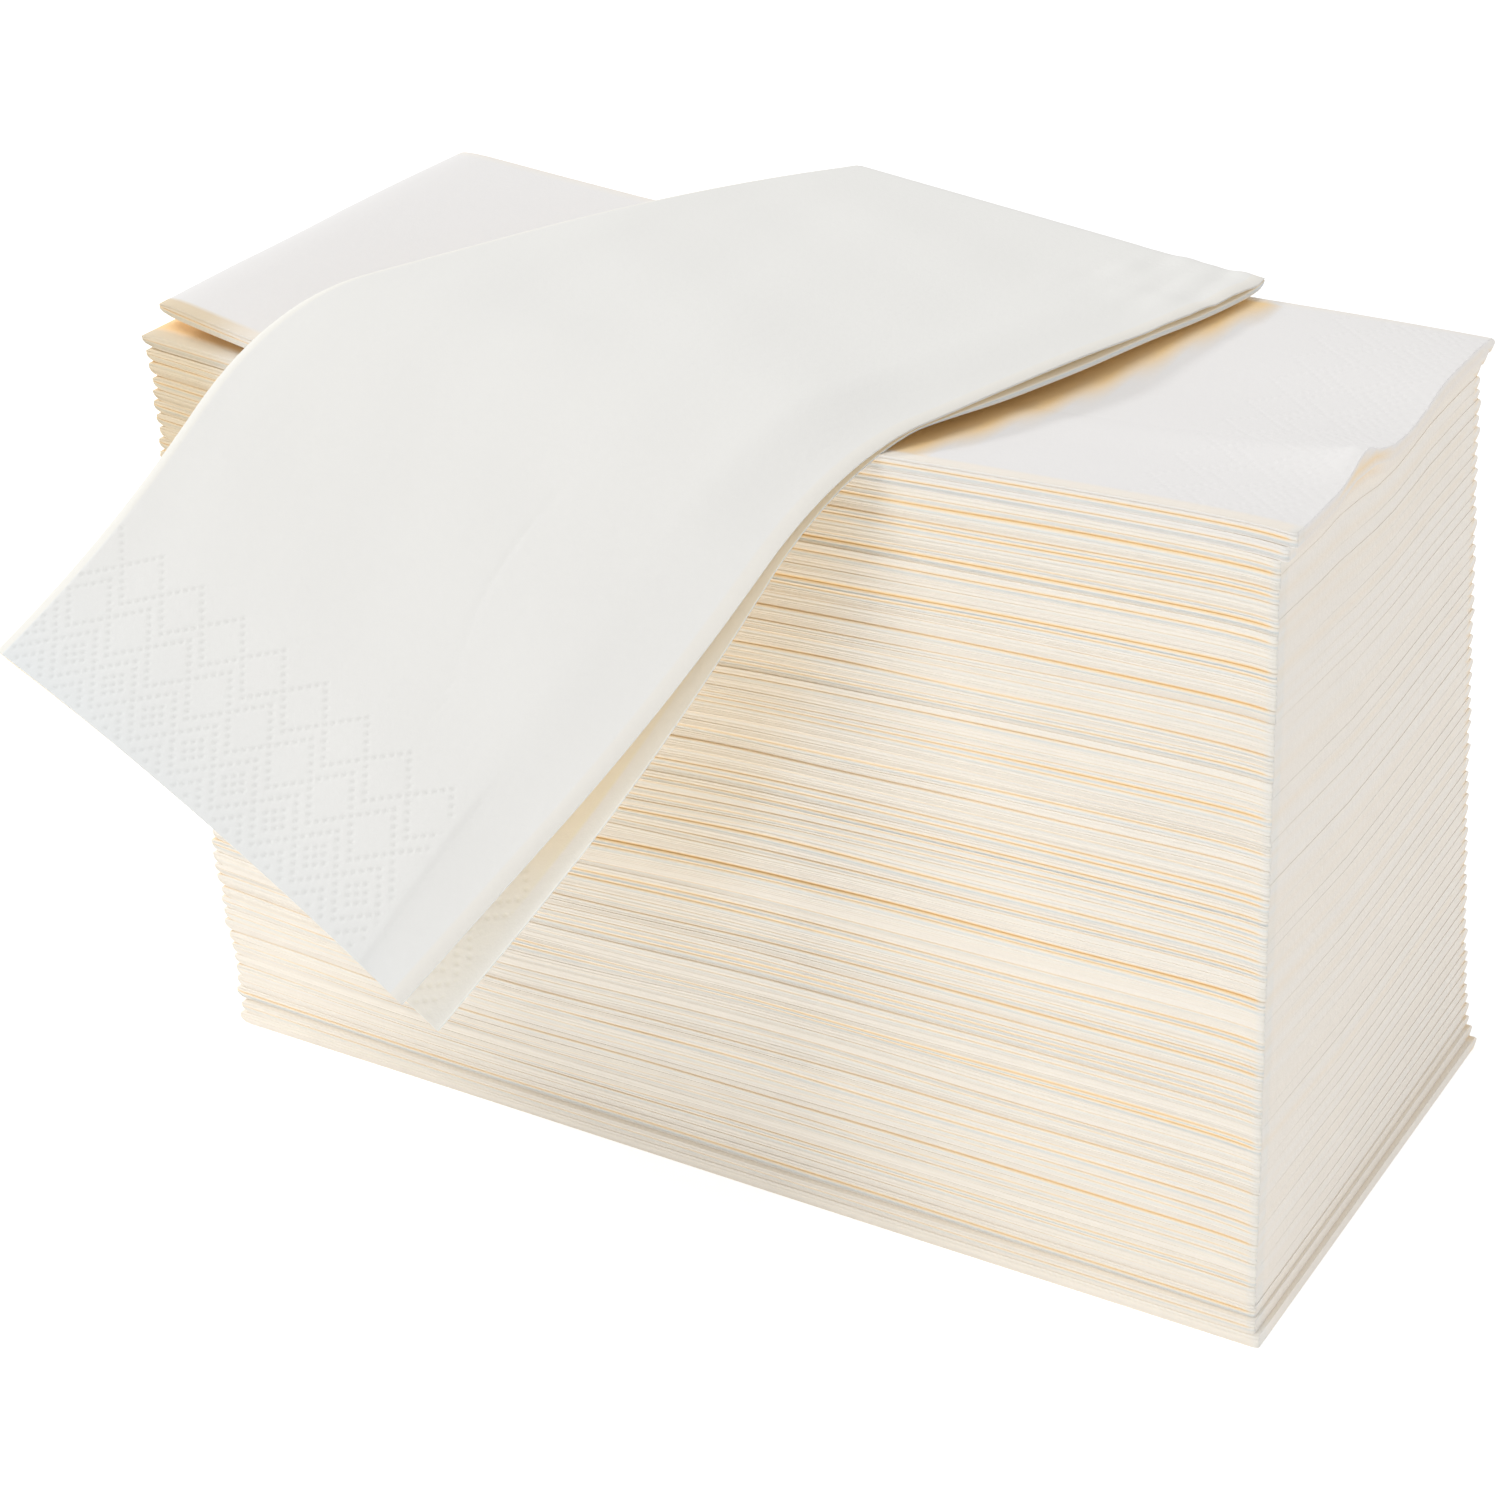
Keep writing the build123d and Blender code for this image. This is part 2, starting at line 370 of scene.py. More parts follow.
# How open the lines between leaves are, counted upwards from the table, two to a napkin.
# Even lines lie between napkins and odd ones are the slits in them.
OPEN_LINES = {
    1.0: (53, 99, 118),
    0.85: (5, 32, 68, 105, 112, 117),
    0.7: (31, 38, 46, 47, 52, 59, 74, 79, 94, 109, 115),
    0.55: (10, 16, 21, 37, 42, 57, 65, 67, 78, 85, 88, 98, 103),
    0.4: (3, 9, 14, 19, 24, 26, 43, 62, 63, 64, 72, 83, 86, 106, 108, 110, 113),
    0.28: (13, 18, 22, 27, 35, 36, 39, 40, 44, 49, 60, 61, 70, 80, 90, 92),
    0.15: (7, 29, 56, 76, 81, 87, 91, 96, 101),
}
LINE_POWER = 0.8
LINE_OPENING = {line: opening**LINE_POWER for opening, lines in OPEN_LINES.items() for line in lines}
CLOSED_LINE = 0.06
LEAST_LINE = 0.02
LINE_UNEVENNESS = 0.16
LINE_AT_LEFT, LINE_GAIN_TO_RIGHT = 0.62, 0.5

# Rounded border of a leaf beside a line, in millimetres inwards and shares of a napkin's thickness upwards.
# Each pair is for a closed line and how much an open one adds.
LINE_DEPTH = (0.03, 0.12)
LINE_REACH = (0.03, 0.17)
LINE_BOTTOM = 2.4
LINE_FLOOR = 0.004
# Steps of the rounding as shares of its depth and reach, with the painted warm glow of the line at each
ROUNDING_SHARES = ((0.5, 0.4, 0.62), (0.12, 0.85, 0.16))

# Sheet edges or small folds between two lines: how many a leaf has and how deep the grooves between them are,
# and the shape of a groove as shares of its depth and places
LOWER_LEAF, UPPER_LEAF, DRAPE_UPPER_LEAF = (4, 0.05), (2, 0.1), (2, 0.12)
LOBE_BULGE, LOBE_SCATTER = 0.03, 0.02
GROOVE_SHARES = ((0.3, 0.78), (1.0, 1.0), (0.3, 1.22))
GROOVE_LEAST, GROOVE_SPREAD = 0.4, 1.2
# Painted warm glow in the grooves, least and spread, and the painted bluish shade band under each line, its
# reach and gain
GROOVE_TINT_LEAST, GROOVE_TINT_SPREAD = 0.02, 0.16
COOL_REACH, COOL_GAIN = 0.2, 1.4

# Open front of the stack: scatter, inset and the spread of its lowest napkins
FRONT_SCATTER_SHARE = 0.3
FRONT_INSET = 0.3
FRONT_SPREAD = 1.3
LEAF_UNEVENNESS = 0.05

# Rounded fold at the back: how far in as a share of its reach, height in the thickness, painted warm glow
# where it turns into the gap
UPPER_FOLD_SHARES = [(1.0, 1.0, 0.45), (0.66, 0.9, 0.25), (0.34, 0.77, 0.1), (0.1, 0.63, 0.0)]
LOWER_FOLD_SHARES = [(inward, 1 - height, tint) for inward, height, tint in reversed(UPPER_FOLD_SHARES)]
FOLD_SHARES = UPPER_FOLD_SHARES + [(0.0, 0.5, 0.0)] + LOWER_FOLD_SHARES
FOLD_REACH, FOLD_SCATTER = 2.1, 0.2


def line_strength(line, x):
    """How deep and open a line between leaves is at places along the stack, from 0 to 1."""
    table = waves(count=3, longest=240, shortest=50, seed=LINE_SEED + line)
    slow = 1 + LINE_UNEVENNESS * field(x, 0.0, table)
    towards_right = LINE_AT_LEFT + LINE_GAIN_TO_RIGHT * np.clip(x / NAPKIN_LENGTH + 0.5, 0, 1)
    return np.clip(LINE_OPENING.get(line, CLOSED_LINE) * slow * towards_right, LEAST_LINE, 1)


def leaf_front(leaf, x):
    """How far in from the nominal front a leaf ends, two leaves to a napkin, counted upwards."""
    index = leaf // 2
    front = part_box(f"napkin_{index + 1:02d}")[0].y / MM - STACK_FRONT
    rng = np.random.default_rng(LEAF_SEED + leaf)
    inset = FRONT_SCATTER_SHARE * front + FRONT_INSET - FRONT_SPREAD * from_base_share(index)
    slow = field(x, 0.0, waves(count=3, longest=200, shortest=30, seed=LEAF_WAVE_SEED + leaf))
    return inset + LEAF_UNEVENNESS * rng.normal() + LEAF_UNEVENNESS * slow


def rounding(out, front, height, strength, sign):
    """Rounded border of a leaf, from inside the line out to the leaf's edge, or back for a sign of -1."""
    depth = LINE_DEPTH[0] + LINE_DEPTH[1] * strength
    reach = LINE_REACH[0] + LINE_REACH[1] * strength
    steps = [(LINE_BOTTOM, 0.0, 1.0), (depth, LINE_FLOOR, 1.0)]
    steps += [(inward * depth, upward * reach, tint) for inward, upward, tint in ROUNDING_SHARES]
    for inward, upward, tint in steps[::sign]:
        out.add(front + inward, height + sign * upward, tint * strength)


def leaf_edge(out, zone, low, high, front, strengths, leaf, seed):
    """Open edge of one leaf, upwards: sheet edges or folds side by side between two deeper lines."""
    (below, above), (lobes, groove) = strengths, leaf
    rng = np.random.default_rng(seed)
    out.zone = zone
    rounding(out, front, low, below, 1)
    first = low + LINE_REACH[0] + LINE_REACH[1] * below
    last = high - LINE_REACH[0] - LINE_REACH[1] * above
    step = (last - first) / lobes

    # Painted bluish shade in a band just under the line above
    def cool(height):
        return np.minimum(COOL_GAIN * above, 1.0) * bell(height, last, COOL_REACH)

    for lobe in range(lobes):
        middle = first + (lobe + 0.5) * step
        out.add(front - LOBE_BULGE + LOBE_SCATTER * rng.normal(), middle, 0.0, cool(middle))
        if lobe < lobes - 1:
            depth = groove * (GROOVE_LEAST + GROOVE_SPREAD * rng.random())
            tint = GROOVE_TINT_SPREAD * rng.random() ** 2 + GROOVE_TINT_LEAST
            for inward, share in GROOVE_SHARES:
                height = first + (lobe + share) * step
                out.add(front + inward * depth, height, inward * tint, cool(height))
    rounding(out, front, high, above, -1)


def fold_edge(out, width, reach, tinted_above, tinted_below):
    """Rounded last fold, from its top round to its base."""
    out.zone = FOLD
    for share, height, tint in FOLD_SHARES:
        tinted = tinted_below if height < 0.5 else tinted_above
        out.add(width - share * reach, height, tint if tinted else 0.0)


def border_dots(across, from_end):
    """Depth of the embossed dots, from 0 to 1, at places across the napkin and from its cut end."""
    depth = np.zeros(np.broadcast(across, from_end).shape)
    for row in BORDER_ROWS:
        start = FIRST_DIAMOND + DIAMOND_PITCH / 2 * (row % 2 - 1)
        sideways = (across - start) % DIAMOND_PITCH - DIAMOND_PITCH / 2
        inwards = from_end - FIRST_ROW - row * ROW_PITCH
        a, b = (sideways + inwards) / (2 * NET_STEP), (sideways - inwards) / (2 * NET_STEP)
        near_a, near_b = [np.clip(np.round(c - 0.5) + 0.5, -DIAMOND_HALF, DIAMOND_HALF) for c in (a, b)]
        on_frame = np.maximum(abs(near_a), abs(near_b)) == DIAMOND_HALF
        away = np.where(on_frame, np.hypot(a - near_a, b - near_b), DIAMOND_PITCH)
        if row < 0:
            fill_a, fill_b = [np.clip(np.round(c), -FILLED_HALF, FILLED_HALF) for c in (a, b)]
            away = np.minimum(away, np.hypot(a - fill_a, b - fill_b))
        depth = np.maximum(depth, np.clip(1 - (away * DOT_STEP / DOT_RADIUS) ** 2, 0, 1) ** DOT_POWER)
    return depth * (from_end > PLAIN_END)


# Places of the sections along a napkin of the stack, and of the points across it
FOLD_TIP_PLACES = np.array((0.0, 0.3, 0.8, 1.7, 3.0))
FOLD_TIP_SWELLS = np.array((0.08, 0.38, 0.65, 0.88, 1.0))
FOLD_TIP_SCATTER = 0.25
TOP_TIP_STRETCH = 1.2
MIDDLE_PLACES = np.linspace(-104, 103, 55)
CUT_PLACES = np.array((2.6, 1.6, 1.0, 0.6, 0.3, 0.1, 0.0))
SECTION_CLEARANCE = 1.0
INNER_PLACES = np.array((4.5, 10.0, 18.0, 27.0, 36.0, 45.0, 54.0, 63.0, 72.0, 82.0, 91.0, 97.0))
FINE_FROM_CUT, FINE_FROM_FRONT, FINE_FROM_BACK = 2.7, 3.8, 4.1

# Slit between the leaves of a napkin: where it ends short of the fold and closes at the cut end
ROOT_DEPTH = 5.4
SLIT_SHORT_OF_FOLD = 8.0
SLIT_CLOSING_SPAN = (-0.5, -4.5)
SLIT_LEAST, SLIT_GAIN = 0.001, 0.012
LEAF_SCATTER = 0.02
# Painted warm glow at the root of the slit
ROOT_TINT = 0.3
LAYER_GAP = 0.004

# Painted warm glow and shade on the upper and lower surfaces, by how many napkins lie over them
TOP_TINTS = {0: 0.0, 1: 0.9, 2: 0.9}
SURFACE_TINT = 0.4
BASE_TINTS = {0: 0.9, 1: 0.9}
LAST_LINE = 0.1

# How far the napkins reach past the CAD ends, in millimetres, at the foot of the stack and over it
BASE_SPREAD = 1.4
RIGHT_SCATTER = 0.015
LEFT_REACH = 1.2
LEFT_BULGE, LEFT_BULGE_HEIGHT, LEFT_BULGE_REACH = 0.8, 32.0, 16.0
LEFT_FOOT, LEFT_FOOT_RUN = 2.0, 7.0
BACK_REACH, BACK_AT_TOP = 0.7, 2.8
BACK_FOOT, BACK_FOOT_RUN = 1.8, 25.0

# Rounded corners of the open edge and the fold, at the cut end and at the pinched end
CUT_CORNER, CUT_CORNER_RUN = 0.5, 1.2
PINCHED_CORNER, PINCHED_CORNER_RUN = 0.9, 2.2
FOLD_CORNER_SHARE = 0.5

# Shift of the uppermost napkin's loose tip, and droop of the front corner at the cut ends
TIP_SHIFT_X, TIP_SHIFT_Y = 2.0, 3.6
TIP_RUN, TIP_DEPTH = 24.0, 60.0
DROOP, DROOP_RUN_X, DROOP_RUN_Y = 0.8, 4.5, 9.0
DROOP_NAPKINS = 8

# Painted light and shade of the stack, in millimetres and shares: the draped napkin's shadow by its edge on
# top, less glow and a bluish stripe at the open corner, glow on the cut ends and in the bump's crack, warm
# glow on the open sides, shade at the left corner, and the draped napkin's shadow on the front
CAST_EDGE_SPAN = (-4.8, -0.3)
CORNER_SPAN = (1.8, 0.4)
CORNER_GAP_LOSS, CORNER_COOL = 0.75, 0.3
CUT_TINT, BUMP_TINT = 0.15, 0.7
CUT_TINT_SPAN = (0.2, 2.2)
CUT_FACE, CUT_FACE_SIDE = 0.05, 0.65
TOP_SIDE = 0.55
SHADE_SPAN_X, SHADE_SPAN_Z = (-82.0, -96.0), (85.0, 125.0)
CAST_STRENGTH = 0.42
CAST_SPAN_Z = (35.0, 80.0)


def under_drape(x, y):
    """How far under the draped napkin places on top of the stack lie, below zero outside it."""
    cos_turn, sin_turn, level = cos(DRAPE_TURN), sin(DRAPE_TURN), cos(DRAPE_TILT)
    turn = np.array(((cos_turn * level, sin_turn), (sin_turn * level, -cos_turn)))
    away = np.stack((x - DRAPE_CORNER_X, y - NAPKIN_WIDTH / 2 - DRAPE_BACK_OVERHANG), axis=-1)
    side, ahead = np.moveaxis(away @ np.linalg.inv(turn).T, -1, 0)
    across = side * cos(DRAPE_SKEW) + ahead * sin(DRAPE_SKEW)
    along = ahead * cos(DRAPE_SKEW) - side * sin(DRAPE_SKEW)
    return np.minimum(np.minimum(NAPKIN_WIDTH - across, along), across)


class StackNapkin:
    """Folded napkin of the stack, counted from the base, with its open edge at the front."""

    def __init__(self, index):
        node = f"napkin_{index + 1:02d}"
        low_corner, high_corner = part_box(node)
        rng = np.random.default_rng(NAPKIN_SEED + index)
        from_base, from_top = from_base_share(index), from_top_share(index)
        level = index / NAPKIN_COUNT
        height = STACK_HEIGHT * level
        self.index = index
        self.node = node
        self.top_one = index == NAPKIN_COUNT - 1
        self.width = high_corner.y / MM - STACK_FRONT
        self.right = CUT_END + BASE_SPREAD * from_base**2 + TOP_SPREAD * from_top
        self.right += RIGHT_SCATTER * rng.normal()
        bulge = LEFT_BULGE * bell(height, LEFT_BULGE_HEIGHT, LEFT_BULGE_REACH)
        self.left = low_corner.x / MM - LEFT_REACH - bulge + LEFT_FOOT * exp(-height / LEFT_FOOT_RUN)
        back_reach = BACK_REACH + BACK_FOOT * exp(-height / BACK_FOOT_RUN) - BACK_AT_TOP * from_top
        self.skew = back_reach - END_LEAN * (level - LEAN_PIVOT_SHARE) * (1 - from_top)
        self.stretch = (1 + FOLD_TIP_SCATTER * rng.random()) * (1 + TOP_TIP_STRETCH * from_top)

    def sections(self):
        """Places of the sections along the stack, and the share of the full thickness at each."""
        tip = FOLD_TIP_PLACES * self.stretch
        middle = MIDDLE_PLACES[MIDDLE_PLACES > self.left + tip[-1] + SECTION_CLEARANCE]
        if self.top_one:
            steps = np.arange(FINE_STEPS, -int((FIRST_ROW - FINE_FROM_CUT) / DOT_GRID), -1)
            fine = self.right - FIRST_ROW - DOT_GRID * steps
            middle = np.concatenate((middle[middle < fine[0] - SECTION_CLEARANCE], fine))
        places = np.concatenate((self.left + tip, middle, self.right - CUT_PLACES))
        swell = np.concatenate((FOLD_TIP_SWELLS, np.ones(len(middle) + len(CUT_PLACES))))
        return places, swell[:, None]

    def top_places(self):
        """Places of the points across the upper surface, close together where it has a border of dots."""
        if not self.top_one:
            return INNER_PLACES
        first = -int((FIRST_DIAMOND - FINE_FROM_FRONT) / DOT_GRID)
        last = int((self.width - FIRST_DIAMOND - FINE_FROM_BACK) / DOT_GRID)
        return FIRST_DIAMOND + DOT_GRID * np.arange(first, last)

    def outline(self, sections):
        """Points round the napkin at each section."""
        out = Outline(sections)
        index, width = self.index, self.width
        rng = np.random.default_rng(OUTLINE_SEED + index)
        from_top = NAPKIN_COUNT - 1 - index
        under, slit, over = [line_strength(2 * index + line, sections) for line in range(3)]
        if self.top_one:
            over = np.full_like(sections, LAST_LINE)
        lower, upper = leaf_front(2 * index, sections), leaf_front(2 * index + 1, sections)
        middle = 0.5 + LEAF_SCATTER * rng.normal()
        half_slit = SLIT_LEAST + SLIT_GAIN * slit * ramp(sections - self.right, *SLIT_CLOSING_SPAN)
        deep = INNER_PLACES[INNER_PLACES < width - SLIT_SHORT_OF_FOLD]
        seed = EDGE_SEED + index * EDGE_SEED_STEP
        low_slit, high_slit = middle - half_slit, middle + half_slit
        leaf_edge(out, LOWER_EDGE, 0.0, low_slit, lower, (under, slit), LOWER_LEAF, seed)
        out.row(LOWER_SLIT, deep, low_slit, slit)
        out.row(ROOT, [width - ROOT_DEPTH], middle, ROOT_TINT)
        out.row(UPPER_SLIT, deep[::-1], high_slit, slit)
        seed += UPPER_EDGE_SEED
        leaf_edge(out, UPPER_EDGE, high_slit, 1.0, upper, (slit, over), UPPER_LEAF, seed)
        out.row(TOP, self.top_places(), 1.0, TOP_TINTS.get(from_top, SURFACE_TINT))
        fold_edge(out, width, FOLD_REACH + FOLD_SCATTER * rng.normal(), not self.top_one, True)
        out.row(BASE, INNER_PLACES[::-1], 0.0, BASE_TINTS.get(from_top, SURFACE_TINT))
        return out.arrays()

    def points(self, sections, swell, zones, shape):
        """Places of all points of the napkin."""
        x = np.repeat(sections[:, None], len(zones), axis=1)
        near_cut = np.clip((x - self.right + CUT_CORNER_RUN) / CUT_CORNER_RUN, 0, 1)
        near_fold = np.clip((self.left + PINCHED_CORNER_RUN - x) / PINCHED_CORNER_RUN, 0, 1)
        corner = CUT_CORNER * (1 - np.sqrt(1 - near_cut**2))
        corner = corner + PINCHED_CORNER * (1 - np.sqrt(1 - near_fold**2))
        inwards = in_zones(zones, LOWER_EDGE, UPPER_EDGE) * 1.0 - FOLD_CORNER_SHARE * in_zones(zones, FOLD)
        y = STACK_FRONT + shape["place"] + inwards * corner
        towards_cut = np.clip((x - LENGTH_STATIONS[2]) / (self.right - LENGTH_STATIONS[2]), 0, 1)
        x = x + self.skew * towards_cut * (y - STACK_FRONT) / self.width
        if self.top_one:
            shifted = np.exp(-(x - self.left) / TIP_RUN) * np.clip(1 - (y - STACK_FRONT) / TIP_DEPTH, 0, 1)
            x = x + TIP_SHIFT_X * shifted
            y = y + TIP_SHIFT_Y * shifted
        low = layer_height(self.index, x, y)
        high = layer_height(self.index + 1, x, y) - LAYER_GAP
        z = low + (high - low) * (0.5 + swell * (shape["height"] - 0.5)) + napkin_lift(self.index, x, y)
        at_cut = np.exp(-np.clip(self.right - x, 0, None) / DROOP_RUN_X)
        at_front = np.exp(-np.clip(y - STACK_FRONT, 0, None) / DROOP_RUN_Y)
        z = z - DROOP * at_cut * at_front * ramp(self.index, 0, DROOP_NAPKINS)
        if self.top_one:
            z = z - TOP_DOT_DEPTH * border_dots(y - STACK_FRONT, self.right - x) * in_zones(zones, TOP)
        return x, y, z

    def marks(self, sections, zones, shape, x, y, z):
        """Painted light and shade that the material reads at all points of the napkin: warm glow in gaps,
        bluish shade under lines, warm glow on the open sides, and shade and shadow from the draped napkin.
        """
        from_cut = self.right - sections[:, None]
        at_open_edge = in_zones(zones, LOWER_EDGE, UPPER_EDGE)
        on_side, inside = True, ~in_zones(zones, LOWER_EDGE, UPPER_EDGE, FOLD)
        gap = shape["gap"]
        if self.top_one:
            on_side, inside = ~in_zones(zones, TOP, BASE), inside & ~in_zones(zones, TOP)
            # On top of the uppermost napkin the warm tint is the draped napkin's painted shadow by its edge
            gap = np.where(in_zones(zones, TOP), ramp(under_drape(x, y), *CAST_EDGE_SPAN), gap)
        at_corner = at_open_edge * ramp(from_cut, *CORNER_SPAN)
        at_crack = in_zones(zones, LOWER_SLIT, UPPER_SLIT) * (self.index >= NAPKIN_COUNT - CRACK_NAPKINS)
        cut_tint = CUT_TINT + BUMP_TINT * bell(y, BUMP_PLACE, BUMP_REACH) * at_crack
        tint = np.where(inside, cut_tint + (1 - cut_tint) * ramp(from_cut, *CUT_TINT_SPAN), 1.0)
        # Warm glow painted on the open sides, less on the cut face and on the loose top napkins
        side = np.where(from_cut < CUT_FACE, CUT_FACE_SIDE, 1.0)
        if from_top_share(self.index):
            side = side * TOP_SIDE
        # Painted shade at the left corner under the draped napkin, and the draped napkin's painted shadow on
        # the front
        shade = ramp(x, *SHADE_SPAN_X) * ramp(z, *SHADE_SPAN_Z)
        cast = CAST_STRENGTH * drape_cast(x, z) * ramp(z, *CAST_SPAN_Z)
        return {
            "gap": gap * (1 - CORNER_GAP_LOSS * at_corner) * tint,
            "cool": np.maximum(shape["cool"], CORNER_COOL * at_corner),
            "edge": side * on_side,
            "cast": at_open_edge * np.maximum(cast, shade),
        }

    def build(self, material):
        sections, swell = self.sections()
        zones, shape = self.outline(sections)
        x, y, z = self.points(sections, swell, zones, shape)
        marks = self.marks(sections, zones, shape, x, y, z)
        grid, name = np.stack((x, y, z), axis=-1), f"stack_{self.node}"
        return mesh_object(name, grid, marks, zones, shape["place"][-1], material, [self.node])


def bent_run(distance):
    """Run forward and drop at distances along the bent napkin, with the slope there."""
    flat = DRAPE_BACK_OVERHANG + NAPKIN_WIDTH - DRAPE_BEND_BEFORE_EDGE
    relax = NAPKIN_LENGTH * cos(DRAPE_SKEW) - flat - DRAPE_BEND_RUN - DRAPE_STRAIGHT_END
    forward = np.minimum(distance, flat)
    drop = np.zeros_like(distance)
    slope = np.zeros_like(distance)
    start = 0.0
    rest = distance - flat
    for run, end in ((DRAPE_BEND_RUN, DRAPE_BEND_ANGLE), (relax, DRAPE_RELAX_ANGLE)):
        curve = (end - start) / run
        turned = start + curve * np.clip(rest, 0, run)
        slope = np.where(rest > 0, turned, slope)
        forward = forward + np.where(rest > 0, (np.sin(turned) - sin(start)) / curve, 0)
        drop = drop + np.where(rest > 0, (cos(start) - np.cos(turned)) / curve, 0)
        rest = rest - run
        start = end
    forward = forward + np.where(rest > 0, rest * cos(start), 0)
    drop = drop + np.where(rest > 0, rest * sin(start), 0)
    return forward, drop, slope


def drape_place(across, along):
    """Middle of the draped napkin and its upward normal, before it is set down on the stack."""
    level_ruling = np.array((cos(DRAPE_TURN), sin(DRAPE_TURN), 0.0))
    ruling = level_ruling * cos(DRAPE_TILT) - np.array((0.0, 0.0, sin(DRAPE_TILT)))
    ahead = np.array((sin(DRAPE_TURN), -cos(DRAPE_TURN), 0.0))
    upward = -np.cross(ruling, ahead)
    side = across * cos(DRAPE_SKEW) - along * sin(DRAPE_SKEW)
    forward, drop, slope = bent_run(across * sin(DRAPE_SKEW) + along * cos(DRAPE_SKEW))
    corner = np.array((DRAPE_CORNER_X, NAPKIN_WIDTH / 2 + DRAPE_BACK_OVERHANG, STACK_HEIGHT))
    place = corner + side[..., None] * ruling + forward[..., None] * ahead - drop[..., None] * upward
    share = across / NAPKIN_WIDTH
    fall = np.clip(1 - along / DRAPE_LIFT_RUN, 0, None) ** 2
    place[..., 2] += (DRAPE_RIGHT_LIFT * share - DRAPE_LEFT_DROOP * (1 - share)) * fall
    normal = np.cos(slope)[..., None] * upward + np.sin(slope)[..., None] * ahead
    return place, normal


# Soft unevenness over the top of the draped napkin, and how far in from each of its edges it starts
SOFT_WAVES = waves(count=7, longest=70, shortest=22, seed=7)
SOFT_HEIGHT = 0.16
SOFT_START_ALONG, SOFT_START_LEFT, SOFT_START_RIGHT = 40.0, 12.0, 14.0

# Step where the upper sheets end short of the open edge, near the cut end
SHEET_END, SHEET_END_SLANT = 91.8, 0.13
SHEET_STEP, SHEET_STEP_REACH = 0.3, 0.18
SHEET_STEP_SPAN = (36.0, 24.0)

# Pressed crease that curves down the hanging part
CREASE_ACROSS, CREASE_BEND, CREASE_ALONG = 64.6, 0.0102, 150.0
CREASE_BEND_SPAN = (-30.0, 60.0)
CREASE_DEPTH, CREASE_REACH = 0.1, 0.5
CREASE_START, CREASE_STOP = (130.0, 145.0), (182.0, 176.0)

# Crumple in the top right corner
CRUMPLE_WAVES = waves(count=6, longest=16, shortest=6, seed=23)
CRUMPLE_HEIGHT = 0.22
CRUMPLE_ACROSS, CRUMPLE_RUN = 66.0, 30.0
CRUMPLE_ALONG = (42.0, 16.0)

# Right edge of the draped napkin along its length: opening of the slit, and how deep the edge rests
SLIT_PLACES = np.array((0.0, 8.0, 22.0, 36.0, 54.0, 74.0, 92.0, 120.0, 214.0))
SLIT_OPENINGS = np.array((0.06, 0.25, 0.75, 0.45, 1.25, 0.8, 0.1, 0.15, 0.2))
SLIT_OPENING_SHARE = 0.8
REST_PLACES = np.array((0.0, 40.0, 75.0, 95.0, 112.0, 140.0, 165.0, 214.0))
REST_DEPTHS = np.array((0.3, 0.0, -0.5, -0.95, -0.95, -0.4, 0.0, 0.0))
EDGE_SPAN = (NAPKIN_WIDTH - 17, NAPKIN_WIDTH - 1)
NEAR_EDGE_SPAN = (62.0, NAPKIN_WIDTH)
UPPER_THIN, LOWER_THIN = 0.62, 0.72
LOWER_THIN_SPAN = (70.0, 95.0)
TOP_END_SINK, TOP_END_SINK_RUN = 0.6, 40.0

# How far the hanging part reaches past the CAD outline by its place across, and its rounded corner
HANGING_SPAN = (110.0, 200.0)
REACH_OUT_LEFT, REACH_OUT_FALL, REACH_OUT_LOW_LEAF = 1.0, 0.7, 2.4
REACH_DOWN_BOW, REACH_DOWN_SLANT, REACH_DOWN_LEFT = 5.0, 3.8, 0.3
CORNER_CUT, CORNER_CUT_RUN = 2.2, 6.0
CORNER_CUT_SPAN = (75.0, NAPKIN_WIDTH)

# Outline and sections of the draped napkin
DRAPE_TIP_PLACES = (0.0, 0.3, 0.8, 1.7, 3.0)
DRAPE_TIP_SWELLS = (0.3, 0.55, 0.78, 0.93, 1.0)
DRAPE_FIRST_SECTION, DRAPE_COARSE_SECTIONS = 5.0, 72
DRAPE_FOLD_REACH = 2.2
DRAPE_INNER_START, DRAPE_INNER_COUNT = 3.2, 24
DRAPE_BASE_END, DRAPE_SLIT_END = 3.0, 7.5
DRAPE_FINE_LEFT, DRAPE_FINE_RIGHT, DRAPE_FINE_LAST = 2.6, 2.8, 18.0
DRAPE_SLIT_DOTS, DRAPE_SLIT_STEP, DRAPE_SLIT_COUNT = 82.0, 4.0, 12
DRAPE_CLOSED_LINE, DRAPE_OPEN_LINE = 0.1, 0.5
# Painted warm glow in the slit and at its root, also used as painted warm shade under the napkin
DRAPE_GAP, DRAPE_ROOT_GAP = 0.6, 0.8
DOTS_SHORT_OF_STEP, DOTS_FADE = 1.0, 1.5

# Painted light and shade of the draped napkin: glow on its sides, less glow where the leaves gape, warm shade
# on the underside, glow inside the lower leaf that also shines by emission, and a bluish light at the tip
DRAPE_SIDE = 0.35
GAPE_TINT_LOSS, GAPE_TINT_GAIN = 0.8, 1.6
BASE_TINT_SPAN = (196.0, 166.0)
NEAR_TIP_SPAN = (168.0, 204.0)
INNER_TINT, INNER_TINT_TIP_LOSS = 0.5, 1.4
LIT_TIP_LOSS = 0.3
TIP_COOL, TIP_COOL_RUN, TIP_COOL_FALL = 0.35, 12.0, 0.7


